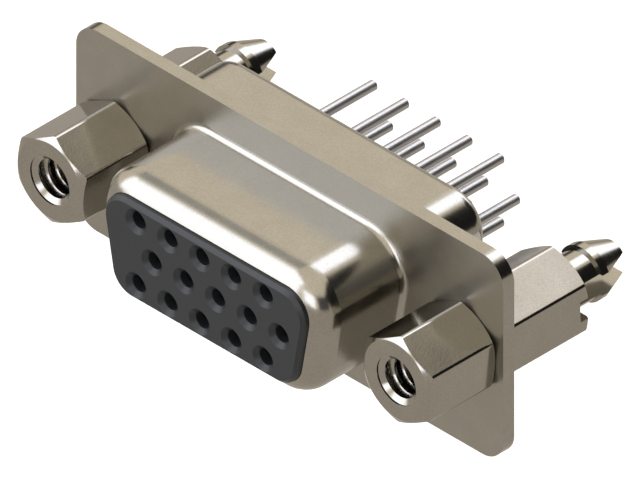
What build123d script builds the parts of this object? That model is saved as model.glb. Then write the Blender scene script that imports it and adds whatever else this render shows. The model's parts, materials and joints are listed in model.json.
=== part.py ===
from build123d import *
from math import cos, radians, sin, sqrt, tan
import os

# High-density D-subminiature socket connector, 15 way, straight into a circuit board.
# Frame: X to the right along the flange, the plug comes in from -Y, the board is at +Y, Z up.
# Origin: middle of the flange's front face. All sizes are in millimetres.

# Contact pattern: three rows of five, the middle row half a pitch over
contacts_per_row = 5
contact_pitch = 2.29
row_spacing = 1.98
outer_row_middle = -0.265

# Margins from the contact pattern outward: nose, shroud, housing, screw and flange edge
nose_side_margin = 2.0625
nose_height_margin = 1.01
shroud_side_margin = 0.985
shroud_height_margin = 0.96
housing_side_margin = 1.6
housing_height_margin = 1.3
screw_to_housing = 2.695
screw_to_edge = 2.91
flange_height_margin = 1.0

# Flange, made of two sheets back to back
flange_corner = 1.5
sheet = 0.4
screw_hole_radius = 1.55

# D-shaped shroud, drawn forward from the front sheet
shroud_reach = 5.92
shroud_corner = 2.5
side_angle = 10.0
lip_radius = 1.5
shroud_bend = 0.4

# Rear housing, drawn backward from the rear sheet, with a lip turned in at its back
housing_corner = 2.1
housing_reach = 3.8
housing_bend = 0.2
housing_lip_radius = 0.8
housing_lip_width = 1.1

# Insulator nose that shows in the shroud's mouth
nose_corner = 1.55
nose_chamfer = 0.21
nose_stand_out = 0.33

# Insulator base plate and the rear insulator behind it
plate_thickness = 1.2
rear_face_recess = 0.15

# Socket contact: split barrel, bore for the plug's pin, square shank and round tail
pin_bore_radius = 0.39
pin_bore_depth = 4.0
barrel_radius = 0.52
barrel_recess = 0.6
barrel_slit = 0.12
barrel_slit_length = 2.6
contact_shank_width = 0.72
contact_shank_recess = 0.05
tail_radius = 0.29
tail_reach = 6.35
tail_tip_chamfer = 0.06

# Mouth of each socket in the insulator
mouth_radius = 0.49
mouth_length = 0.75
countersink_radius = 0.75
countersink_angle = 90.0

# Screwlock and board lock, both turned from the same hexagon bar
hex_across_flats = 4.75
hex_edge_radius = 0.1
hex_face_inset = 0.075
hex_chamfer_angle = 30.0
screwlock_length = 4.8
thread_major_radius = 1.42
thread_depth = 4.2
stud_length = 4.6
stud_chamfer = 0.25
lock_hex_length = 5.95
lock_bore_depth = 4.85
shank_radius = 1.43
shank_length = 1.83
barb_overhang = 0.19
barb_band = 0.45
barb_taper = 1.75
barb_tip_radius = 0.98
slot_width = 1.24
slot_depth_in_hex = 0.65

# Clearances between pieces
insulator_gap = 0.05
nose_gap = 0.03
barrel_gap = 0.025
shank_gap = 0.03
stud_gap = 0.04

# Widths and heights that follow from the contact pattern
pattern_width = (contacts_per_row - 0.5) * contact_pitch
nose_width = pattern_width + 2 * nose_side_margin
nose_height = 2 * row_spacing + 2 * nose_height_margin
shroud_width = nose_width + 2 * shroud_side_margin
shroud_height = nose_height + 2 * shroud_height_margin
housing_width = shroud_width + 2 * housing_side_margin
housing_height = shroud_height + 2 * housing_height_margin
screw_spacing = housing_width + 2 * screw_to_housing
flange_width = screw_spacing + 2 * screw_to_edge
flange_height = housing_height + 2 * flange_height_margin
middle_row_middle = outer_row_middle + contact_pitch / 2
hex_face_radius = hex_across_flats / 2 - hex_face_inset
barb_radius = shank_radius + barb_overhang

# Places along Y that follow from the sizes above
flange_back = 2 * sheet
housing_back = flange_back + housing_reach
nose_front = -(shroud_reach + nose_stand_out)
plate_back = sheet + plate_thickness
cavity_front = nose_front + mouth_length
barrel_front = cavity_front + barrel_recess
lock_hex_back = flange_back + lock_hex_length
shank_back = lock_hex_back + shank_length
band_back = shank_back + barb_band
lock_tip = band_back + barb_taper
rear_face = housing_back - rear_face_recess
shank_end = rear_face - contact_shank_recess
tail_tip_y = housing_back + tail_reach


def d_outline(width, height, corner):
    """D shape, wide side up; the width is taken over the rounded upper corners."""
    slope = radians(side_angle)
    half_top = width / 2 - corner + corner * (1 + sin(slope)) / cos(slope)
    half_bottom = half_top - height * tan(slope)
    with BuildSketch() as outline:
        with BuildLine():
            Polyline(
                (-half_top, height / 2),
                (half_top, height / 2),
                (half_bottom, -height / 2),
                (-half_bottom, -height / 2),
                close=True,
            )
        make_face()
        fillet(outline.vertices(), corner)
    return outline.sketch


def shroud_outline(inset):
    """The shroud's outline, drawn in all round by an inset."""
    return d_outline(shroud_width - 2 * inset, shroud_height - 2 * inset, shroud_corner - inset)


def nose_outline(growth):
    """The insulator nose's outline, grown all round."""
    return d_outline(nose_width + 2 * growth, nose_height + 2 * growth, nose_corner + growth)


def housing_outline(inset):
    """The rear housing's outline, drawn in all round by an inset."""
    with BuildSketch() as outline:
        RectangleRounded(
            housing_width - 2 * inset, housing_height - 2 * inset, housing_corner - inset
        )
    return outline.sketch


def flange_outline():
    """One flange sheet with its two screw holes."""
    with BuildSketch() as outline:
        RectangleRounded(flange_width, flange_height, flange_corner)
        with GridLocations(screw_spacing, 0, 2, 1):
            Circle(screw_hole_radius, mode=Mode.SUBTRACT)
    return outline.sketch


def contact_places():
    """(X, Z) of every contact, upper row first, each row from left to right."""
    places = []
    for row in range(3):
        middle = middle_row_middle if row == 1 else outer_row_middle
        for column in range(contacts_per_row):
            x = middle + (column - (contacts_per_row - 1) / 2) * contact_pitch
            places.append((x, (1 - row) * row_spacing))
    return places


def bend_chamfer(radius):
    """Chamfer that touches the arc of a hidden bend of this radius at its middle."""
    return radius * (2 - sqrt(2))


def front_plane(y):
    """Plane across the connector at this Y, looking out of the front, local Y up."""
    return Plane.XZ.offset(-y)


# Front shell: flange sheet, shroud with a rounded lip, and the bend between them
with BuildPart() as shroud_hollow:
    with BuildSketch(front_plane(sheet)):
        add(shroud_outline(sheet))
    extrude(amount=shroud_reach)
    chamfer(shroud_hollow.faces().sort_by(Axis.Y)[0].edges(), bend_chamfer(lip_radius - sheet))
    with BuildSketch(front_plane(sheet)):
        add(nose_outline(nose_gap))
    extrude(amount=shroud_reach + 2 * sheet)

with BuildPart() as front_shell:
    with BuildSketch(front_plane(sheet)):
        add(flange_outline())
    extrude(amount=sheet)
    with BuildSketch(front_plane(0)):
        add(shroud_outline(0))
    extrude(amount=shroud_reach)
    drawn_edges = front_shell.edges(Select.LAST).group_by(Axis.Y)
    fillet(drawn_edges[-1], shroud_bend)
    fillet(front_shell.faces().sort_by(Axis.Y)[0].edges(), lip_radius)
    add(shroud_hollow.part, mode=Mode.SUBTRACT)
    back_edges = front_shell.edges(Select.LAST).group_by(Axis.Y)[-1]
    chamfer(back_edges, bend_chamfer(shroud_bend + sheet))
front_shell.part.label = "front_shell"

# Rear shell: flange sheet and housing, its lip turned in around the rear insulator
with BuildPart() as housing_hollow:
    with BuildSketch(front_plane(housing_back - sheet)):
        add(housing_outline(sheet))
    extrude(amount=housing_reach)
    chamfer(housing_hollow.faces().sort_by(Axis.Y)[-1].edges(), bend_chamfer(housing_lip_radius - sheet))
    with BuildSketch(front_plane(housing_back + sheet)):
        add(housing_outline(housing_lip_width))
    extrude(amount=housing_reach)

with BuildPart() as rear_shell:
    with BuildSketch(front_plane(flange_back)):
        add(flange_outline())
    extrude(amount=sheet)
    with BuildSketch(front_plane(housing_back)):
        add(housing_outline(0))
    extrude(amount=housing_reach)
    drawn_edges = rear_shell.edges(Select.LAST).group_by(Axis.Y)
    fillet(drawn_edges[0], housing_bend)
    fillet(rear_shell.faces().sort_by(Axis.Y)[-1].edges(), housing_lip_radius)
    add(housing_hollow.part, mode=Mode.SUBTRACT)
    front_edges = rear_shell.edges(Select.LAST).group_by(Axis.Y)[0]
    chamfer(front_edges, bend_chamfer(housing_bend + sheet))
rear_shell.part.label = "rear_shell"

# Front insulator: nose, body behind the lip, base plate held between the shells
body_front = -(shroud_reach - sheet - insulator_gap)
body_chamfer = bend_chamfer(lip_radius - sheet - insulator_gap)
with BuildPart() as front_insulator:
    with BuildSketch(front_plane(sheet)):
        add(shroud_outline(sheet + insulator_gap))
    extrude(amount=sheet - body_front)
    chamfer(front_insulator.faces().sort_by(Axis.Y)[0].edges(), body_chamfer)
    with BuildSketch(front_plane(sheet)):
        add(nose_outline(0))
    extrude(amount=sheet - nose_front)
    chamfer(front_insulator.faces().sort_by(Axis.Y)[0].edges(), nose_chamfer)
    with BuildSketch(front_plane(plate_back)):
        add(housing_outline(sheet + insulator_gap))
    extrude(amount=plate_thickness)
    with Locations(front_plane(nose_front)):
        with Locations(*contact_places()):
            CounterSinkHole(
                mouth_radius,
                countersink_radius,
                counter_sink_angle=countersink_angle,
            )
    with BuildSketch(front_plane(plate_back)):
        with Locations(*contact_places()):
            Circle(barrel_radius + barrel_gap)
    extrude(amount=plate_back - cavity_front, mode=Mode.SUBTRACT)
front_insulator.part.label = "front_insulator"

# Rear insulator: block in the housing, its back face in the lip, with a hole for every contact
block_back = housing_back - sheet - insulator_gap
block_chamfer = bend_chamfer(housing_lip_radius - sheet - insulator_gap)
with BuildPart() as rear_insulator:
    with BuildSketch(front_plane(block_back)):
        add(housing_outline(sheet + insulator_gap))
    extrude(amount=block_back - plate_back)
    chamfer(rear_insulator.faces().sort_by(Axis.Y)[-1].edges(), block_chamfer)
    with BuildSketch(front_plane(rear_face)):
        add(housing_outline(housing_lip_width + nose_gap))
    extrude(amount=rear_face - plate_back)
    with BuildSketch(front_plane(rear_face)):
        with Locations(*contact_places()):
            Rectangle(contact_shank_width + 2 * shank_gap, contact_shank_width + 2 * shank_gap)
    extrude(amount=rear_face - plate_back, mode=Mode.SUBTRACT)
rear_insulator.part.label = "rear_insulator"

# Contact: barrel with its bore and slits, square shank, round tail, on one axis
with BuildPart() as contact:
    with BuildSketch(front_plane(plate_back)):
        Circle(barrel_radius)
    extrude(amount=plate_back - barrel_front)
    with BuildSketch(front_plane(shank_end)):
        Rectangle(contact_shank_width, contact_shank_width)
    extrude(amount=shank_end - plate_back)
    with BuildSketch(front_plane(tail_tip_y)):
        Circle(tail_radius)
    extrude(amount=tail_tip_y - shank_end)
    chamfer(contact.faces().sort_by(Axis.Y)[-1].edges(), tail_tip_chamfer)
    with Locations(front_plane(barrel_front)):
        Hole(pin_bore_radius, depth=pin_bore_depth)
    with BuildSketch(front_plane(barrel_front + barrel_slit_length)):
        Rectangle(2 * barrel_radius, barrel_slit)
    extrude(amount=barrel_slit_length, mode=Mode.SUBTRACT)

# Hexagon bar with conical ends, the start of the screwlock and of the board lock
hex_corner_radius = hex_across_flats / 2 / cos(radians(30))
hex_corner_drop = (hex_corner_radius - hex_face_radius) * tan(radians(hex_chamfer_angle))


def hex_outline():
    """The bar's section, with rounded corners at the top and bottom."""
    with BuildSketch() as outline:
        RegularPolygon(radius=hex_corner_radius, side_count=6, rotation=90)
        fillet(outline.vertices(), hex_edge_radius)
    return outline.sketch


def hex_envelope(front, back):
    """Half section of the turned bar, which gives its ends their cone."""
    with BuildSketch() as outline:
        with BuildLine():
            Polyline(
                (0, front),
                (hex_face_radius, front),
                (hex_corner_radius, front + hex_corner_drop),
                (hex_corner_radius, back - hex_corner_drop),
                (hex_face_radius, back),
                (0, back),
                close=True,
            )
        make_face()
    return outline.sketch


# Screwlock: hexagon in front of the flange, threaded bore, stud through the flange
with BuildPart() as screwlock:
    with BuildSketch(front_plane(0)):
        add(hex_outline())
    extrude(amount=screwlock_length)
    with BuildSketch(Plane.XY):
        add(hex_envelope(-screwlock_length, 0))
    revolve(axis=Axis.Y, mode=Mode.INTERSECT)
    with BuildSketch(front_plane(stud_length)):
        Circle(thread_major_radius - stud_gap)
    extrude(amount=stud_length)
    chamfer(screwlock.faces().sort_by(Axis.Y)[-1].edges(), stud_chamfer)
    with Locations(front_plane(-screwlock_length)):
        Hole(thread_major_radius, depth=thread_depth)

# Board lock: hexagon behind the flange, then two sprung prongs with a barb
with BuildPart() as board_lock:
    with BuildSketch(front_plane(lock_hex_back)):
        add(hex_outline())
    extrude(amount=lock_hex_length)
    with BuildSketch(Plane.XY):
        add(hex_envelope(flange_back, lock_hex_back))
    revolve(axis=Axis.Y, mode=Mode.INTERSECT)
    with BuildSketch(Plane.XY):
        with BuildLine():
            Polyline(
                (0, lock_hex_back),
                (shank_radius, lock_hex_back),
                (shank_radius, shank_back),
                (barb_radius, shank_back),
                (barb_radius, band_back),
                (barb_tip_radius, lock_tip),
                (0, lock_tip),
                close=True,
            )
        make_face()
    revolve(axis=Axis.Y)
    with Locations(front_plane(flange_back)):
        Hole(thread_major_radius, depth=lock_bore_depth)
    with BuildSketch(front_plane(lock_tip)):
        Rectangle(2 * hex_corner_radius, slot_width)
    extrude(amount=lock_tip - lock_hex_back + slot_depth_in_hex, mode=Mode.SUBTRACT)

finished = [front_shell.part, rear_shell.part, front_insulator.part, rear_insulator.part]

for number, (x, z) in enumerate(contact_places(), start=1):
    placed = contact.part.moved(Location((x, 0, z)))
    placed.label = f"contact_{number:02d}"
    finished.append(placed)

for side, x in (("left", -screw_spacing / 2), ("right", screw_spacing / 2)):
    for piece, name in ((screwlock.part, "screwlock"), (board_lock.part, "board_lock")):
        placed = piece.moved(Location((x, 0, 0)))
        placed.label = f"{name}_{side}"
        finished.append(placed)

os.makedirs("parts", exist_ok=True)
for piece in finished:
    export_step(piece, f"parts/{piece.label}.step")
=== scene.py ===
import json
from math import cos, pi, radians, sin, tan

import bmesh
import bpy
from bpy.props import FloatProperty, FloatVectorProperty, IntProperty, PointerProperty
from mathutils import Matrix, Vector

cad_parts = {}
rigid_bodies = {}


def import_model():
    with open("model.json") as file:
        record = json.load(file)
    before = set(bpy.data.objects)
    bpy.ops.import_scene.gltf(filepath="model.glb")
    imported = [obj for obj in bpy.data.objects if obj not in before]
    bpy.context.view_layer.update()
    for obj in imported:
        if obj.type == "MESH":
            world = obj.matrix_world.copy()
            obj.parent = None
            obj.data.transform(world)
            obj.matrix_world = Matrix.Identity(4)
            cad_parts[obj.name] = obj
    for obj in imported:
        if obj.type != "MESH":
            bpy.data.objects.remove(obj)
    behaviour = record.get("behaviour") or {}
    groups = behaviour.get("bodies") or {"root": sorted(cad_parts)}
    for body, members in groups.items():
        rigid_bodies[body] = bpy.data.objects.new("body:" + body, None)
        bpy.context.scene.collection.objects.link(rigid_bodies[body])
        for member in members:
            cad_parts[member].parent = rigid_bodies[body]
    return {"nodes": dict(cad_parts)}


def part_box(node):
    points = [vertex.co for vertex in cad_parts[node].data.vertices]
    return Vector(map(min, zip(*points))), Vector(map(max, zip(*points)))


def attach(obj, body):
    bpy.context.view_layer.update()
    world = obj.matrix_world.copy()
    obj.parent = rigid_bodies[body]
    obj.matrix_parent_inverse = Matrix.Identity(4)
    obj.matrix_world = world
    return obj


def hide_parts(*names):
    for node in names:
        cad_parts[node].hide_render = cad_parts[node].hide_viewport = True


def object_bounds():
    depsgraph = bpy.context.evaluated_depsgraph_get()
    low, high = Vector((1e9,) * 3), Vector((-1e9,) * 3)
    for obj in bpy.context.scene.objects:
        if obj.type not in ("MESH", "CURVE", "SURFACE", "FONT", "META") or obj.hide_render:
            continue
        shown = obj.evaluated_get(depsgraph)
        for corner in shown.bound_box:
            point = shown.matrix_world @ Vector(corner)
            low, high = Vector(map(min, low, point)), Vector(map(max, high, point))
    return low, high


bl_info = {
    "name": "High-density D-sub Connector",
    "version": (1, 0, 0),
    "blender": (4, 5, 0),
    "location": "3D View > Sidebar > Connector",
    "description": "Shells, screwlocks, board locks and contacts of a D-sub connector",
    "category": "Object",
}

for spare in list(bpy.data.objects):
    bpy.data.objects.remove(spare)
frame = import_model()
cad_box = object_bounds()

MM = 0.001

# How far a piece may depart from its solid's box, shapes overlap, and vertices count as one
BOX_TOLERANCE = 0.15 * MM
OVERLAP = 0.05 * MM
MERGE_DISTANCE = 1e-4 * MM

# Facets round a rod, round the bar's turned ends and across a rounded edge
ROD_STEPS = 64
BAR_STEPS = 96
EDGE_STEPS = 4

HALF_FLAT_ANGLE = radians(30)
SHARP_ANGLE = radians(20)

# Cells of each noise in one metre, and its detail
GRAIN = (9000.0, 2.0)
CLOUD = (700.0, 4.0)
DRAWN_LINES = (9000.0, 3.0)
PORES = (14000.0, 2.0)
FLOW = (500.0, 3.0)

# Most values of a noise lie in the first span, nearly all in the second
NOISE_SPAN = (0.3, 0.7)
WIDE_NOISE_SPAN = (0.25, 0.75)

# What the noises do to colour and roughness
GRAIN_SHADE = (0.94, 1.05)
CLOUD_SHADE = (-0.03, 0.03)
CLOUD_BLUR = (-0.03, 0.03)
TIN_ROUGHNESS = (0.36, 0.44)
PORE_SHADE = (0.93, 1.06)
FLOW_SHADE = (-0.04, 0.04)
MOULDING_ROUGHNESS = (0.36, 0.42)

RELIEF = 0.01 * MM
PLATING_RELIEF = 0.08
MOULDING_RELIEF = 0.15
MOULDING_GLOSS = 0.4
WIRE_STRETCH = (1.0, 0.08, 1.0)
ALONG_Y = (0.97, 0.999)

# The panels that the plating mirrors, each over the ones before it: light, azimuth from +Y towards +X,
# elevation, half width, half height and softness of the edge, all in degrees
PANELS = (
    ("shade_colour", -55.0, 8.0, 20.0, 10.0, 5.0),
    ("dim_colour", -77.0, 54.0, 13.0, 8.0, 5.0),
    ("panel_colour", -138.0, 28.0, 27.0, 25.0, 5.0),
    ("panel_colour", 165.0, 10.0, 16.0, 18.0, 3.0),
    ("panel_colour", -12.0, 38.0, 15.0, 28.0, 3.0),
    ("shade_colour", 118.0, 15.0, 20.0, 18.0, 4.0),
    ("flag_colour", 48.0, 22.5, 47.0, 29.5, 2.5),
)
WHITE = (1.0, 1.0, 1.0)

FLOOR_REACH = 6.0
FLOOR_SQUARES = 8
FLOOR_COLOUR = (0.8, 0.8, 0.8, 1.0)
FLOOR_ROUGHNESS = 0.9
FLOOR_GLOSS = 0.1
CLIP_FACTOR = 10

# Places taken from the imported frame
lock_low, lock_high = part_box("screwlock_right")
barb_low, barb_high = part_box("board_lock_right")
HEX_FRONT = lock_low.y
STUD_BACK = lock_high.y
FLANGE_BACK = barb_low.y
BARB_TIP = barb_high.y
ACROSS_FLATS = lock_high.x - lock_low.x
SCREW_X = (lock_low.x + lock_high.x) / 2
SIDES = (("left", -SCREW_X), ("right", SCREW_X))
CONTACT_NODES = sorted(name for name in frame["nodes"] if name.startswith("contact_"))


class HexBarSizes(bpy.types.PropertyGroup):
    """Sizes that the screwlock and the board lock share."""

    across_flats: FloatProperty(
        name="Across flats", description="Width of the hexagon bar", default=ACROSS_FLATS, unit="LENGTH"
    )
    edge_radius: FloatProperty(
        name="Edge radius", description="Rounding of the bar's six edges", default=0.25 * MM,
        unit="LENGTH",
    )
    face_radius: FloatProperty(
        name="Face radius", description="Radius where the end's cone starts", default=2.3 * MM,
        unit="LENGTH",
    )
    cone_angle: FloatProperty(
        name="Cone angle", description="Slope of the turned ends", default=radians(30), subtype="ANGLE"
    )
    screwed_turn: FloatProperty(
        name="Screwed turn", description="How far a tightened hexagon stands past upright",
        default=radians(3), subtype="ANGLE",
    )
    other_turn: FloatProperty(
        name="Other turn", description="The same of the right board lock",
        default=radians(-2), subtype="ANGLE",
    )


class ThreadSizes(bpy.types.PropertyGroup):
    """The screwlock's inner thread, 4-40."""

    major_radius: FloatProperty(
        name="Major radius", description="Radius at the roots", default=1.42 * MM, unit="LENGTH"
    )
    minor_radius: FloatProperty(
        name="Minor radius", description="Radius at the crests", default=1.12 * MM, unit="LENGTH"
    )
    pitch: FloatProperty(
        name="Pitch", description="Advance of one turn", default=0.635 * MM, unit="LENGTH"
    )
    depth: FloatProperty(
        name="Depth", description="Depth of the tapped bore", default=4.2 * MM, unit="LENGTH"
    )
    entry: FloatProperty(
        name="Entry", description="Depth of the plain wall at the mouth", default=0.11 * MM,
        unit="LENGTH",
    )
    lead_in: FloatProperty(
        name="Lead-in", description="Depth at which the cone behind the entry ends", default=0.29 * MM,
        unit="LENGTH",
    )
    lead_back: FloatProperty(
        name="Lead-in back", description="Length of the slope behind the lead-in", default=0.1 * MM,
        unit="LENGTH",
    )
    first_crest: FloatProperty(
        name="First crest", description="Depth of the ridge's middle at its start", default=0.73 * MM,
        unit="LENGTH",
    )
    sunk: FloatProperty(
        name="Sunk", description="How deep the ridge's foot stands in the wall", default=0.02 * MM,
        unit="LENGTH",
    )
    steps: IntProperty(
        name="Steps", description="Facets in one turn of the thread", default=48, min=12
    )


class StudSizes(bpy.types.PropertyGroup):
    """The screwlock's stud, which runs through the flange into the board lock."""

    radius: FloatProperty(
        name="Radius", description="Radius of the rod", default=1.38 * MM, unit="LENGTH"
    )
    chamfer: FloatProperty(
        name="Chamfer", description="Width of the chamfer at its end", default=0.25 * MM, unit="LENGTH"
    )


class BoardLockSizes(bpy.types.PropertyGroup):
    """The split, barbed shank behind the flange."""

    hex_length: FloatProperty(
        name="Hexagon length", description="Length of the hexagon behind the flange", default=5.95 * MM,
        unit="LENGTH",
    )
    shank_radius: FloatProperty(
        name="Shank radius", description="Radius of the part in the board", default=1.43 * MM,
        unit="LENGTH",
    )
    shank_length: FloatProperty(
        name="Shank length", description="Length of the part in the board", default=1.83 * MM,
        unit="LENGTH",
    )
    barb_radius: FloatProperty(
        name="Barb radius", description="Radius of the barb behind the board", default=1.62 * MM,
        unit="LENGTH",
    )
    barb_band: FloatProperty(
        name="Barb band", description="Length of the barb's straight part", default=0.45 * MM,
        unit="LENGTH",
    )
    tip_radius: FloatProperty(
        name="Tip radius", description="Radius at the tip of the taper", default=0.98 * MM, unit="LENGTH"
    )
    slot_width: FloatProperty(
        name="Slot width", description="Gap between the two prongs", default=1.24 * MM, unit="LENGTH"
    )
    slot_depth: FloatProperty(
        name="Slot depth", description="How far the slot runs into the hexagon", default=0.65 * MM,
        unit="LENGTH",
    )
    bore_radius: FloatProperty(
        name="Bore radius", description="Radius of the bore for the stud", default=1.42 * MM,
        unit="LENGTH",
    )
    bore_depth: FloatProperty(
        name="Bore depth", description="Depth of the bore for the stud", default=4.85 * MM, unit="LENGTH"
    )


class Finishes(bpy.types.PropertyGroup):
    """Colours and gloss of the four finishes."""

    shell_colour: FloatVectorProperty(
        name="Shell", description="Nickel plating on sheet", default=(0.376, 0.36, 0.3215),
        subtype="COLOR",
    )
    turned_colour: FloatVectorProperty(
        name="Turned parts", description="Nickel plating on turned parts", default=(0.376, 0.36, 0.3215),
        subtype="COLOR",
    )
    insulator_colour: FloatVectorProperty(
        name="Insulator", description="Dark grey moulding", default=(0.017, 0.0195, 0.0225),
        subtype="COLOR",
    )
    tin_colour: FloatVectorProperty(
        name="Tin", description="Tinned contacts", default=(0.5, 0.5, 0.515), subtype="COLOR"
    )
    drawn_roughness: FloatProperty(
        name="Drawn roughness", description="How much the drawn walls blur what they mirror", default=0.2
    )
    rolled_roughness: FloatProperty(
        name="Rolled roughness", description="The same of the flat flange, duller as rolled",
        default=0.34,
    )
    bar_roughness: FloatProperty(
        name="Bar roughness", description="How much the turned parts blur what they mirror", default=0.14
    )


class StudioSettings(bpy.types.PropertyGroup):
    """Camera, floor and light."""

    azimuth: FloatProperty(
        name="Azimuth", description="Camera's turn from straight in front", default=radians(45),
        subtype="ANGLE",
    )
    elevation: FloatProperty(
        name="Elevation", description="Camera's height angle, that of a true isometric view",
        default=radians(35.264), subtype="ANGLE",
    )
    target: FloatVectorProperty(
        name="Target", description="Point at the middle of the picture", subtype="TRANSLATION",
        default=(1.043 * MM, 1.147 * MM, 0.104 * MM),
    )
    frame_width: FloatProperty(
        name="Frame width", description="Width of the flat, orthographic picture", default=32.64 * MM,
        unit="LENGTH",
    )
    distance: FloatProperty(
        name="Distance", description="From the target to the camera", default=200 * MM, unit="LENGTH"
    )
    floor_drop: FloatProperty(
        name="Floor drop", description="Gap between the connector and the floor", default=26 * MM,
        unit="LENGTH",
    )
    room_colour: FloatVectorProperty(
        name="Room", description="Warm light of the room round the panels", default=(1.2, 1.09, 0.9),
        subtype="COLOR", max=10.0,
    )
    panel_colour: FloatVectorProperty(
        name="Panels", description="Light of the white panels, cool so that plating mirrors it white",
        default=(2.86, 2.95, 3.25), subtype="COLOR", max=10.0,
    )
    flag_colour: FloatVectorProperty(
        name="Flag", description="What light the dark flag still gives", default=(0.02, 0.02, 0.02),
        subtype="COLOR",
    )
    dim_colour: FloatVectorProperty(
        name="Dim strip", description="Light of the dim strip over the lip", default=(0.6, 0.59, 0.58),
        subtype="COLOR",
    )
    shade_colour: FloatVectorProperty(
        name="Shade", description="Light of the two dim corners", default=(0.1, 0.1, 0.1),
        subtype="COLOR",
    )
    mirrored_floor: FloatVectorProperty(
        name="Mirrored floor", description="Floor's colour as the plating mirrors it",
        default=(0.614, 0.56, 0.49), subtype="COLOR",
    )
    floor_lift: FloatProperty(
        name="Floor lift", description="Light added so that the floor looks white", default=0.3
    )


class Connector(bpy.types.PropertyGroup):
    """All settings of the connector."""

    hex_bar: PointerProperty(type=HexBarSizes)
    thread: PointerProperty(type=ThreadSizes)
    stud: PointerProperty(type=StudSizes)
    board_lock: PointerProperty(type=BoardLockSizes)
    finishes: PointerProperty(type=Finishes)
    studio: PointerProperty(type=StudioSettings)


# Node helpers


def new_node(tree, kind, **inputs):
    """A node with its inputs set by name; an input given as a socket is linked."""
    node = tree.nodes.new(kind)
    for name, value in inputs.items():
        socket = node.inputs[name.replace("_", " ")]
        if isinstance(value, bpy.types.NodeSocket):
            tree.links.new(value, socket)
        else:
            socket.default_value = value
    return node


def calculate(tree, operation, first, second=0.0, clamp=False):
    """The result of a Math node on two values."""
    node = tree.nodes.new("ShaderNodeMath")
    node.operation = operation
    node.use_clamp = clamp
    for socket, value in zip(node.inputs, (first, second)):
        if isinstance(value, bpy.types.NodeSocket):
            tree.links.new(value, socket)
        else:
            socket.default_value = value
    return node.outputs[0]


def remap(tree, value, low, high, new_low, new_high, smooth=False):
    """A value carried from one range to another."""
    node = tree.nodes.new("ShaderNodeMapRange")
    node.interpolation_type = "SMOOTHSTEP" if smooth else "LINEAR"
    tree.links.new(value, node.inputs["Value"])
    for name, number in (
        ("From Min", low),
        ("From Max", high),
        ("To Min", new_low),
        ("To Max", new_high),
    ):
        node.inputs[name].default_value = number
    return node.outputs["Result"]


def noise(tree, coordinates, cells):
    """Noise with so many cells in a metre and so much detail."""
    scale, detail = cells
    node = new_node(tree, "ShaderNodeTexNoise", Vector=coordinates, Scale=scale, Detail=detail)
    return node.outputs["Fac"]


def spread(tree, value, reach, span=NOISE_SPAN):
    """A noise carried to the range that it varies something over."""
    return remap(tree, value, *span, *reach)


# Finishes


def new_material(name, metallic):
    """A material with its node tree, its shader and its coordinates."""
    material = bpy.data.materials.new(name)
    material.use_nodes = True
    tree = material.node_tree
    shader = tree.nodes["Principled BSDF"]
    shader.inputs["Metallic"].default_value = metallic
    return material, tree, shader, tree.nodes.new("ShaderNodeTexCoord")


def colour_by(tree, shader, colour, shade):
    """Gives the shader a colour that the shade makes lighter or darker."""
    tint = tree.nodes.new("ShaderNodeVectorMath")
    tint.operation = "SCALE"
    tint.inputs[0].default_value = colour
    tree.links.new(shade, tint.inputs["Scale"])
    tree.links.new(tint.outputs[0], shader.inputs["Base Color"])


def raise_by(tree, shader, height, strength):
    """Gives the shader a fine relief."""
    bump = new_node(tree, "ShaderNodeBump", Height=height, Strength=strength, Distance=RELIEF)
    tree.links.new(bump.outputs["Normal"], shader.inputs["Normal"])


def plated(name, colour, roughness, rolled_roughness):
    """Satin nickel plating: fine mottled grain and relief, and a faint cloudiness.

    Faces that look along Y have a roughness of their own, because drawing and turning burnish the others.
    """
    material, tree, shader, coordinates = new_material(name, 1.0)
    grain = noise(tree, coordinates.outputs["Object"], GRAIN)
    cloud = noise(tree, coordinates.outputs["Object"], CLOUD)
    shade = calculate(tree, "ADD", spread(tree, grain, GRAIN_SHADE), spread(tree, cloud, CLOUD_SHADE))
    colour_by(tree, shader, colour, shade)
    facing = new_node(tree, "ShaderNodeSeparateXYZ", Vector=coordinates.outputs["Normal"]).outputs["Y"]
    rolled = remap(tree, calculate(tree, "ABSOLUTE", facing), *ALONG_Y, roughness, rolled_roughness)
    blur = calculate(tree, "ADD", rolled, spread(tree, cloud, CLOUD_BLUR, WIDE_NOISE_SPAN))
    tree.links.new(blur, shader.inputs["Roughness"])
    raise_by(tree, shader, grain, PLATING_RELIEF)
    return material


def tinned(name, colour):
    """Bright tin plating, drawn along the wire, so its grain is long in Y."""
    material, tree, shader, coordinates = new_material(name, 1.0)
    stretch = new_node(
        tree, "ShaderNodeMapping", Vector=coordinates.outputs["Object"], Scale=WIRE_STRETCH
    )
    lines = noise(tree, stretch.outputs["Vector"], DRAWN_LINES)
    colour_by(tree, shader, colour, spread(tree, lines, GRAIN_SHADE))
    tree.links.new(spread(tree, lines, TIN_ROUGHNESS), shader.inputs["Roughness"])
    return material


def moulded(name, colour):
    """Glass-filled moulding: matt, with a fine spark-eroded texture and flow clouds."""
    material, tree, shader, coordinates = new_material(name, 0.0)
    pores = noise(tree, coordinates.outputs["Object"], PORES)
    flow = noise(tree, coordinates.outputs["Object"], FLOW)
    shade = calculate(tree, "ADD", spread(tree, pores, PORE_SHADE), spread(tree, flow, FLOW_SHADE))
    colour_by(tree, shader, colour, shade)
    tree.links.new(spread(tree, flow, MOULDING_ROUGHNESS), shader.inputs["Roughness"])
    shader.inputs["Specular IOR Level"].default_value = MOULDING_GLOSS
    raise_by(tree, shader, pores, MOULDING_RELIEF)
    return material


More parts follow.
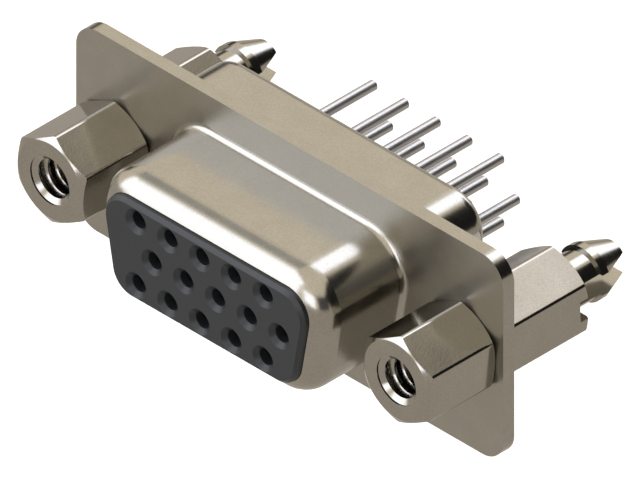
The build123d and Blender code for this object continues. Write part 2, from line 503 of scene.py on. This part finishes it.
def finish_of(name):
    """The material of one finish, made the first time it is asked for."""
    if name in bpy.data.materials:
        return bpy.data.materials[name]
    finishes = bpy.context.scene.connector.finishes
    if name == "plated_sheet":
        return plated(name, finishes.shell_colour, finishes.drawn_roughness, finishes.rolled_roughness)
    if name == "plated_bar":
        return plated(name, finishes.turned_colour, finishes.bar_roughness, finishes.bar_roughness)
    if name == "tinned_wire":
        return tinned(name, finishes.tin_colour)
    if name == "dark_moulding":
        return moulded(name, finishes.insulator_colour)
    raise ValueError(f"there is no finish named {name}")


def dress(nodes, finish):
    """Gives CAD nodes their finish."""
    for name in nodes:
        for material_slot in frame["nodes"][name].material_slots:
            material_slot.material = finish_of(finish)


# Mesh helpers


def lathe(profile, steps=ROD_STEPS):
    """A closed solid of revolution about Y from points (radius, y), first and last on the axis."""
    bm = bmesh.new()
    points = [bm.verts.new((radius, y, 0.0)) for radius, y in profile]
    edges = [bm.edges.new(pair) for pair in zip(points, points[1:])]
    bmesh.ops.spin(
        bm, geom=points + edges, cent=(0, 0, 0), axis=(0, 1, 0), dvec=(0, 0, 0),
        angle=2 * pi, steps=steps, use_merge=True,
    )
    bmesh.ops.remove_doubles(bm, verts=bm.verts, dist=MERGE_DISTANCE)
    bmesh.ops.recalc_face_normals(bm, faces=bm.faces)
    return bm


def corner_reach(sizes):
    """From the hexagon's middle to a corner, before rounding."""
    return sizes.across_flats / 2 / cos(HALF_FLAT_ANGLE)


def hex_bar(sizes, front, back, turn):
    """The bar between two places along Y, turned about Y, with rounded edges and plain ends."""
    bm = bmesh.new()
    bmesh.ops.create_circle(
        bm, cap_ends=True, segments=6, radius=corner_reach(sizes),
        matrix=Matrix.Translation((0, front, 0)) @ Matrix.Rotation(radians(90), 4, "X"),
    )
    extruded = bmesh.ops.extrude_face_region(bm, geom=list(bm.faces))
    moved = [v for v in extruded["geom"] if isinstance(v, bmesh.types.BMVert)]
    bmesh.ops.translate(bm, verts=moved, vec=(0, back - front, 0))
    bmesh.ops.recalc_face_normals(bm, faces=bm.faces)
    long_edges = [e for e in bm.edges if abs(e.verts[0].co.y - e.verts[1].co.y) > (back - front) / 2]
    bmesh.ops.bevel(
        bm, geom=long_edges, offset=sizes.edge_radius * tan(HALF_FLAT_ANGLE), offset_type="OFFSET",
        segments=EDGE_STEPS, profile=0.5, affect="EDGES", clamp_overlap=True, material=-1,
    )
    bmesh.ops.rotate(bm, verts=bm.verts, cent=(0, 0, 0), matrix=Matrix.Rotation(turn, 3, "Y"))
    bmesh.ops.recalc_face_normals(bm, faces=bm.faces)
    return bm


def turned_envelope(sizes, front, back):
    """What the bar is turned to: a cylinder whose ends are cones."""
    widest = corner_reach(sizes)
    drop = (widest - sizes.face_radius) * tan(sizes.cone_angle)
    return lathe(
        [
            (0.0, front),
            (sizes.face_radius, front),
            (widest, front + drop),
            (widest, back - drop),
            (sizes.face_radius, back),
            (0.0, back),
        ],
        steps=BAR_STEPS,
    )


def block(width, length, height, centre):
    """A box, for cutting with."""
    bm = bmesh.new()
    bmesh.ops.create_cube(
        bm, size=1.0, matrix=Matrix.Translation(centre) @ Matrix.Diagonal((width, length, height, 1.0))
    )
    return bm


def helical_ridge(thread, front, turns):
    """The thread's ridge, its foot sunk in the bore's wall and its ends cut square.

    An inner thread is a quarter of the pitch wide at its crest and leaves an eighth at its root.
    """
    root = thread.major_radius + thread.sunk
    foot = thread.pitch * 7 / 16
    crest = thread.pitch / 8
    bm = bmesh.new()
    section = [
        bm.verts.new((root, -foot, 0.0)),
        bm.verts.new((thread.minor_radius, -crest, 0.0)),
        bm.verts.new((thread.minor_radius, crest, 0.0)),
        bm.verts.new((root, foot, 0.0)),
    ]
    face = bm.faces.new(section)
    steps = int(thread.steps * turns)
    bmesh.ops.translate(bm, verts=section, vec=(0, front, 0))
    bmesh.ops.spin(
        bm, geom=[face], cent=(0, 0, 0), axis=(0, 1, 0), dvec=(0, thread.pitch * turns / steps, 0),
        angle=2 * pi * turns, steps=steps, use_duplicate=False,
    )
    bmesh.ops.recalc_face_normals(bm, faces=bm.faces)
    return bm


def lead_in_ring(thread):
    """The closed ring in the bore's mouth whose front is the thread's lead-in cone."""
    root = thread.major_radius + thread.sunk
    bm = bmesh.new()
    corners = [
        bm.verts.new((radius, HEX_FRONT + depth, 0.0))
        for radius, depth in (
            (root, thread.entry),
            (thread.major_radius, thread.entry),
            (thread.minor_radius, thread.lead_in),
            (root, thread.lead_in + thread.lead_back),
        )
    ]
    edges = [bm.edges.new(pair) for pair in zip(corners, corners[1:] + corners[:1])]
    bmesh.ops.spin(
        bm, geom=corners + edges, cent=(0, 0, 0), axis=(0, 1, 0), dvec=(0, 0, 0),
        angle=2 * pi, steps=2 * thread.steps, use_merge=True,
    )
    bmesh.ops.remove_doubles(bm, verts=bm.verts, dist=MERGE_DISTANCE)
    bmesh.ops.recalc_face_normals(bm, faces=bm.faces)
    return bm


def to_mesh(bm, name):
    """A mesh made from a bmesh, which is freed."""
    mesh = bpy.data.meshes.new(name)
    bm.to_mesh(mesh)
    bm.free()
    return mesh


def combined(base, *steps):
    """The mesh of a base solid after Boolean steps, each an (operation, bmesh) pair.

    The steps run on shapes enlarged a thousand times, because the solver loses faces of small ones.
    """
    for bm in (base, *(tool for operation, tool in steps)):
        bmesh.ops.scale(bm, vec=(1 / MM, 1 / MM, 1 / MM), verts=bm.verts)
    worker = bpy.data.objects.new("worker", to_mesh(base, "worker"))
    bpy.context.scene.collection.objects.link(worker)
    tools = []
    for operation, bm in steps:
        tool = bpy.data.objects.new("tool", to_mesh(bm, "tool"))
        bpy.context.scene.collection.objects.link(tool)
        tools.append(tool)
        modifier = worker.modifiers.new(operation, "BOOLEAN")
        modifier.operation = operation
        modifier.solver = "EXACT"
        modifier.object = tool
    depsgraph = bpy.context.evaluated_depsgraph_get()
    mesh = bpy.data.meshes.new_from_object(worker.evaluated_get(depsgraph))
    for spare in [worker] + tools:
        spare_mesh = spare.data
        bpy.data.objects.remove(spare)
        bpy.data.meshes.remove(spare_mesh)
    bm = bmesh.new()
    bm.from_mesh(mesh)
    bpy.data.meshes.remove(mesh)
    bmesh.ops.scale(bm, vec=(MM, MM, MM), verts=bm.verts)
    bmesh.ops.remove_doubles(bm, verts=bm.verts, dist=MERGE_DISTANCE)
    bmesh.ops.recalc_face_normals(bm, faces=bm.faces)
    return bm


def finished_piece(name, bm, finish, node):
    """Turns a bmesh, in its place, into a piece that rides on the root and stands for a CAD node.

    Raises an error where the piece and the node fill different boxes, as after a failed Boolean step.
    """
    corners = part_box(node)
    for pick, corner in zip((min, max), corners):
        reach = Vector([pick(vert.co[axis] for vert in bm.verts) for axis in range(3)])
        if (reach - corner).length > BOX_TOLERANCE:
            raise RuntimeError(f"{name} doesn't fill the box of {node}")
    mesh = to_mesh(bm, name)
    mesh.materials.clear()
    mesh.materials.append(finish_of(finish))
    mesh.shade_smooth()
    mesh.set_sharp_from_angle(angle=SHARP_ANGLE)
    piece = bpy.data.objects.new(name, mesh)
    bpy.context.scene.collection.objects.link(piece)
    hardened = piece.modifiers.new("flat faces stay flat", "WEIGHTED_NORMAL")
    hardened.keep_sharp = True
    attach(piece, "root")
    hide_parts(node)
    return piece


class CONNECTOR_OT_shells(bpy.types.Operator):
    """Plate the front shell and the rear shell"""

    bl_idname = "connector.shells"
    bl_label = "Shells"

    def execute(self, context):
        dress(["front_shell", "rear_shell"], "plated_sheet")
        return {"FINISHED"}


class CONNECTOR_OT_insulators(bpy.types.Operator):
    """Colour the front and the rear insulator"""

    bl_idname = "connector.insulators"
    bl_label = "Insulators"

    def execute(self, context):
        dress(["front_insulator", "rear_insulator"], "dark_moulding")
        return {"FINISHED"}


class CONNECTOR_OT_contacts(bpy.types.Operator):
    """Tin the contacts"""

    bl_idname = "connector.contacts"
    bl_label = "Contacts"

    def execute(self, context):
        dress(CONTACT_NODES, "tinned_wire")
        return {"FINISHED"}


class CONNECTOR_OT_screwlocks(bpy.types.Operator):
    """Make both screwlocks, with their inner thread and stud"""

    bl_idname = "connector.screwlocks"
    bl_label = "Screwlocks"

    def execute(self, context):
        settings = context.scene.connector
        sizes = settings.hex_bar
        thread = settings.thread
        stud_sizes = settings.stud
        bore_end = HEX_FRONT + thread.depth
        for side, x in SIDES:
            bore = lathe(
                [
                    (0.0, HEX_FRONT - OVERLAP),
                    (thread.major_radius, HEX_FRONT - OVERLAP),
                    (thread.major_radius, bore_end),
                    (0.0, bore_end),
                ],
                steps=BAR_STEPS,
            )
            stud = lathe(
                [
                    (0.0, -OVERLAP),
                    (stud_sizes.radius, -OVERLAP),
                    (stud_sizes.radius, STUD_BACK - stud_sizes.chamfer),
                    (stud_sizes.radius - stud_sizes.chamfer, STUD_BACK),
                    (0.0, STUD_BACK),
                ]
            )
            bm = combined(
                hex_bar(sizes, HEX_FRONT, 0.0, sizes.screwed_turn),
                ("INTERSECT", turned_envelope(sizes, HEX_FRONT, 0.0)),
                ("DIFFERENCE", bore),
                ("UNION", stud),
            )
            first = HEX_FRONT + thread.first_crest
            ridge = helical_ridge(thread, first, int((bore_end - first) / thread.pitch))
            for extra in (lead_in_ring(thread), ridge):
                mesh = to_mesh(extra, "extra")
                bm.from_mesh(mesh)
                bpy.data.meshes.remove(mesh)
            bmesh.ops.translate(bm, verts=bm.verts, vec=(x, 0, 0))
            finished_piece(
                f"screwlock_{side}_threaded", bm, "plated_bar", f"screwlock_{side}"
            )
        return {"FINISHED"}


class CONNECTOR_OT_board_locks(bpy.types.Operator):
    """Make both board locks, each with a split and barbed shank"""

    bl_idname = "connector.board_locks"
    bl_label = "Board locks"

    def execute(self, context):
        settings = context.scene.connector
        sizes = settings.hex_bar
        lock = settings.board_lock
        hex_back = FLANGE_BACK + lock.hex_length
        shank_back = hex_back + lock.shank_length
        band_back = shank_back + lock.barb_band
        for side, x in SIDES:
            shank = lathe(
                [
                    (0.0, hex_back - OVERLAP),
                    (lock.shank_radius, hex_back - OVERLAP),
                    (lock.shank_radius, shank_back),
                    (lock.barb_radius, shank_back),
                    (lock.barb_radius, band_back),
                    (lock.tip_radius, BARB_TIP),
                    (0.0, BARB_TIP),
                ],
                steps=BAR_STEPS,
            )
            slot_front = hex_back - lock.slot_depth
            slot_back = BARB_TIP + OVERLAP
            slot = block(
                2 * sizes.across_flats, slot_back - slot_front, lock.slot_width,
                (0, (slot_front + slot_back) / 2, 0),
            )
            bore = lathe(
                [
                    (0.0, FLANGE_BACK - OVERLAP),
                    (lock.bore_radius, FLANGE_BACK - OVERLAP),
                    (lock.bore_radius, FLANGE_BACK + lock.bore_depth),
                    (0.0, FLANGE_BACK + lock.bore_depth),
                ]
            )
            turn = sizes.screwed_turn if side == "left" else sizes.other_turn
            bm = combined(
                hex_bar(sizes, FLANGE_BACK, hex_back, turn),
                ("INTERSECT", turned_envelope(sizes, FLANGE_BACK, hex_back)),
                ("UNION", shank),
                ("DIFFERENCE", slot),
                ("DIFFERENCE", bore),
            )
            bmesh.ops.translate(bm, verts=bm.verts, vec=(x, 0, 0))
            finished_piece(
                f"board_lock_{side}_split", bm, "plated_bar", f"board_lock_{side}"
            )
        return {"FINISHED"}


# Studio


def pointing(azimuth, elevation):
    """Unit vector at an azimuth from +Y towards +X and a height above the horizon, both in degrees."""
    a = radians(azimuth)
    e = radians(elevation)
    return Vector((sin(a) * cos(e), cos(a) * cos(e), sin(e)))


def panel_mask(tree, direction, azimuth, elevation, half_width, half_height, softness):
    """1 inside a soft-edged panel of the surroundings, 0 outside; sizes are in degrees."""
    centre = pointing(azimuth, elevation)
    right = centre.cross(Vector((0, 0, 1))).normalized()
    up = right.cross(centre)

    def along(axis):
        node = tree.nodes.new("ShaderNodeVectorMath")
        node.operation = "DOT_PRODUCT"
        tree.links.new(direction, node.inputs[0])
        node.inputs[1].default_value = axis
        return node.outputs["Value"]

    ahead = along(centre)
    mask = calculate(tree, "GREATER_THAN", ahead, 0.0)
    for axis, half in ((right, half_width), (up, half_height)):
        angle = calculate(tree, "ARCTAN2", calculate(tree, "ABSOLUTE", along(axis)), ahead)
        edge = remap(
            tree, angle, radians(half - softness), radians(half + softness), 1.0, 0.0, smooth=True
        )
        mask = calculate(tree, "MULTIPLY", mask, edge)
    return mask


def blended(tree, colour, target, mask):
    """A colour carried towards a target colour where a mask is 1."""
    mix = tree.nodes.new("ShaderNodeMix")
    mix.data_type = "RGBA"
    tree.links.new(mask, mix.inputs["Factor"])
    start, end = (socket for socket in mix.inputs if socket.type == "RGBA")
    if isinstance(colour, bpy.types.NodeSocket):
        tree.links.new(colour, start)
    else:
        start.default_value = (*colour, 1.0)
    end.default_value = (*target, 1.0)
    return next(socket for socket in mix.outputs if socket.type == "RGBA")


def studio_world(studio):
    """A warm room with white panels and a dark flag, so that plating shows bands as in a studio."""
    world = bpy.data.worlds.new("studio")
    world.use_nodes = True
    tree = world.node_tree
    background = tree.nodes["Background"]
    direction = tree.nodes.new("ShaderNodeTexCoord").outputs["Generated"]
    rays = tree.nodes.new("ShaderNodeLightPath")
    colour = studio.room_colour
    for light, *place in PANELS:
        colour = blended(tree, colour, getattr(studio, light), panel_mask(tree, direction, *place))
    colour = blended(tree, colour, WHITE, rays.outputs["Is Camera Ray"])
    tree.links.new(colour, background.inputs["Color"])
    bpy.context.scene.world = world


def pale_floor(studio, height):
    """A wide pale floor that looks white to the camera and keeps the connector's shadow."""
    bm = bmesh.new()
    bmesh.ops.create_grid(
        bm, x_segments=FLOOR_SQUARES, y_segments=FLOOR_SQUARES, size=FLOOR_REACH,
        matrix=Matrix.Translation((0, 0, height)),
    )
    floor = bpy.data.objects.new("floor", to_mesh(bm, "floor"))
    bpy.context.scene.collection.objects.link(floor)
    material = bpy.data.materials.new("pale_floor")
    material.use_nodes = True
    tree = material.node_tree
    shader = tree.nodes["Principled BSDF"]
    shader.inputs["Base Color"].default_value = FLOOR_COLOUR
    shader.inputs["Roughness"].default_value = FLOOR_ROUGHNESS
    shader.inputs["Specular IOR Level"].default_value = FLOOR_GLOSS
    shader.inputs["Emission Color"].default_value = (*WHITE, 1.0)
    rays = tree.nodes.new("ShaderNodeLightPath")
    mirrored = calculate(
        tree, "ADD", rays.outputs["Is Glossy Ray"], rays.outputs["Is Transmission Ray"], clamp=True
    )
    lift = calculate(tree, "MULTIPLY", rays.outputs["Is Camera Ray"], studio.floor_lift)
    tree.links.new(lift, shader.inputs["Emission Strength"])
    glow = new_node(tree, "ShaderNodeEmission", Color=(*studio.mirrored_floor, 1.0), Strength=1.0)
    mix = tree.nodes.new("ShaderNodeMixShader")
    tree.links.new(mirrored, mix.inputs["Fac"])
    tree.links.new(shader.outputs["BSDF"], mix.inputs[1])
    tree.links.new(glow.outputs["Emission"], mix.inputs[2])
    tree.links.new(mix.outputs["Shader"], tree.nodes["Material Output"].inputs["Surface"])
    floor.data.materials.append(material)


class CONNECTOR_OT_stage(bpy.types.Operator):
    """Set up the floor, the light and the camera"""

    bl_idname = "connector.stage"
    bl_label = "Stage"

    def execute(self, context):
        studio = context.scene.connector.studio
        studio_world(studio)
        pale_floor(studio, cad_box[0].z - studio.floor_drop)
        target = Vector(studio.target)
        outward = Vector(
            (
                sin(studio.azimuth) * cos(studio.elevation),
                -cos(studio.azimuth) * cos(studio.elevation),
                sin(studio.elevation),
            )
        )
        data = bpy.data.cameras.new("camera")
        data.type = "ORTHO"
        data.ortho_scale = studio.frame_width
        data.clip_start = studio.distance / CLIP_FACTOR
        data.clip_end = studio.distance * CLIP_FACTOR
        camera = bpy.data.objects.new("camera", data)
        bpy.context.scene.collection.objects.link(camera)
        camera.location = target + outward * studio.distance
        camera.rotation_euler = outward.to_track_quat("Z", "Y").to_euler()
        context.scene.camera = camera
        context.scene.view_settings.view_transform = "Standard"
        return {"FINISHED"}


OPERATORS = (
    CONNECTOR_OT_shells,
    CONNECTOR_OT_insulators,
    CONNECTOR_OT_contacts,
    CONNECTOR_OT_screwlocks,
    CONNECTOR_OT_board_locks,
    CONNECTOR_OT_stage,
)


class CONNECTOR_PT_panel(bpy.types.Panel):
    """Lists what the connector is made of"""

    bl_idname = "CONNECTOR_PT_panel"
    bl_label = "Connector"
    bl_space_type = "VIEW_3D"
    bl_region_type = "UI"
    bl_category = "Connector"

    def draw(self, context):
        for operator in OPERATORS:
            self.layout.operator(operator.bl_idname)


CLASSES = (
    HexBarSizes,
    ThreadSizes,
    StudSizes,
    BoardLockSizes,
    Finishes,
    StudioSettings,
    Connector,
) + OPERATORS + (CONNECTOR_PT_panel,)


def register():
    for cls in CLASSES:
        bpy.utils.register_class(cls)
    bpy.types.Scene.connector = PointerProperty(type=Connector)


def unregister():
    del bpy.types.Scene.connector
    for cls in reversed(CLASSES):
        bpy.utils.unregister_class(cls)


def main():
    """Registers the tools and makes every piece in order."""
    register()
    bpy.ops.connector.shells()
    bpy.ops.connector.insulators()
    bpy.ops.connector.contacts()
    bpy.ops.connector.screwlocks()
    bpy.ops.connector.board_locks()
    bpy.ops.connector.stage()


if __name__ == "__main__":
    main()
